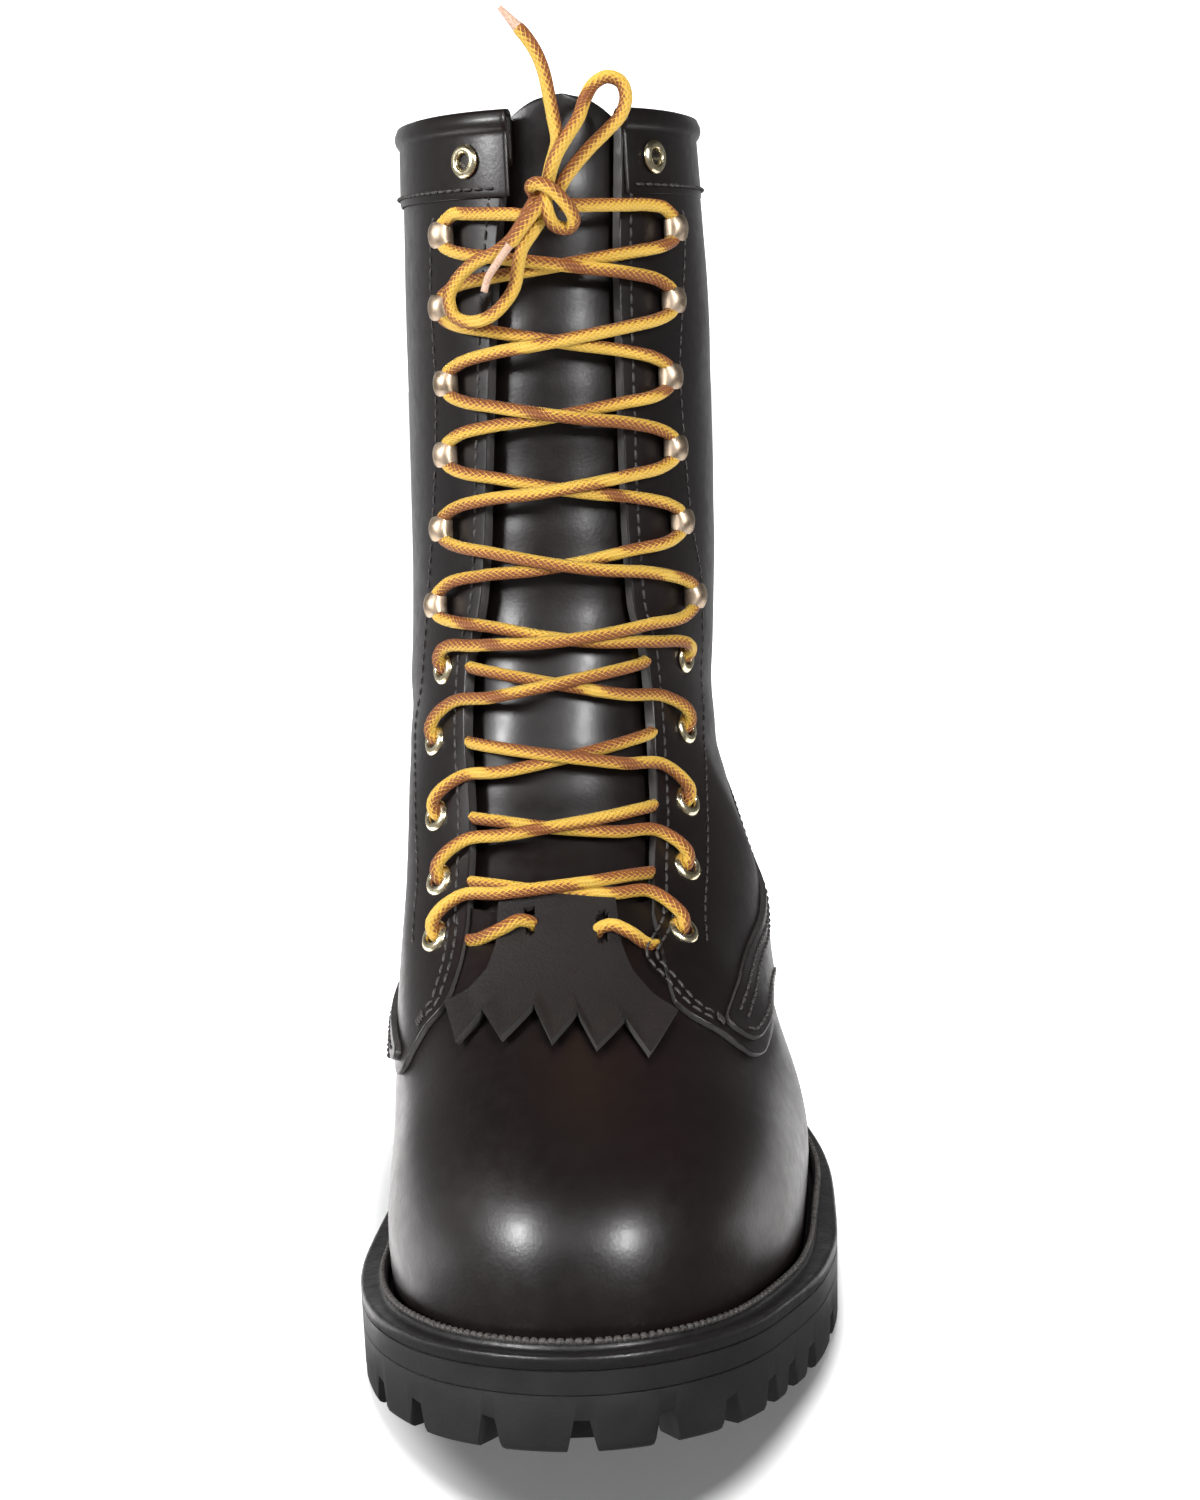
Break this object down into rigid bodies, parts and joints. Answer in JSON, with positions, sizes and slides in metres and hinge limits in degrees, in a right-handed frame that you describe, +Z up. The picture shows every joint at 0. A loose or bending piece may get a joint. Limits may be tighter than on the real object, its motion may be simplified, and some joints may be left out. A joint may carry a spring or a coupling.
{
  "type": "lace-up work boot",
  "caption": "Tall left lace-up work boot with a welted lugged sole, undershot stacked heel, hollow leather upper, fringed kiltie, and eyelet and hook lacing.",
  "frame": {"origin": "middle of the sole's length and width, on the floor under the heel and forefoot", "axes": "+Z up, -Y towards the toe, +X towards the outer (lateral) side of the left foot"},
  "size_m": [0.1228, 0.305, 0.3267],
  "materials": {
    "black_leather": "oiled black leather with a soft sheen",
    "sole_rubber": "matt black rubber",
    "edge_leather": "black stained leather edges",
    "insole_leather": "plain tan leather",
    "brass": "pale polished brass",
    "lace_cord": "round waxed braid, yellow with brown flecks"
  },
  "bodies": {
    "root": {"outsole": "sole_rubber", "midsole": "edge_leather", "welt": "edge_leather", "insole": "insole_leather", "heel_stack": "edge_leather", "heel_lift": "sole_rubber", "upper": "black_leather", "heel_counter": "black_leather", "collar_band": "black_leather", "tongue": "black_leather", "kiltie": "black_leather", "eyelet_medial_01": "brass", "eyelet_lateral_01": "brass", "hook_medial_02": "brass", "hook_lateral_02": "brass", "hook_medial_03": "brass", "hook_lateral_03": "brass", "hook_medial_04": "brass", "hook_lateral_04": "brass", "hook_medial_05": "brass", "hook_lateral_05": "brass", "hook_medial_06": "brass", "hook_lateral_06": "brass", "hook_medial_07": "brass", "hook_lateral_07": "brass", "eyelet_medial_08": "brass", "eyelet_lateral_08": "brass", "eyelet_medial_09": "brass", "eyelet_lateral_09": "brass", "eyelet_medial_10": "brass", "eyelet_lateral_10": "brass", "eyelet_medial_11": "brass", "eyelet_lateral_11": "brass", "eyelet_medial_12": "brass", "eyelet_lateral_12": "brass", "lace_cross_01": "lace_cord", "lace_cross_02": "lace_cord", "lace_cross_03": "lace_cord", "lace_cross_04": "lace_cord", "lace_cross_05": "lace_cord", "lace_cross_06": "lace_cord", "lace_cross_07": "lace_cord", "lace_cross_08": "lace_cord", "lace_cross_09": "lace_cord", "lace_cross_10": "lace_cord", "lace_bar_top": "lace_cord", "lace_bar_low_medial": "lace_cord", "lace_bar_low_lateral": "lace_cord", "lace_bow": "lace_cord"}
  },
  "joints": []
}
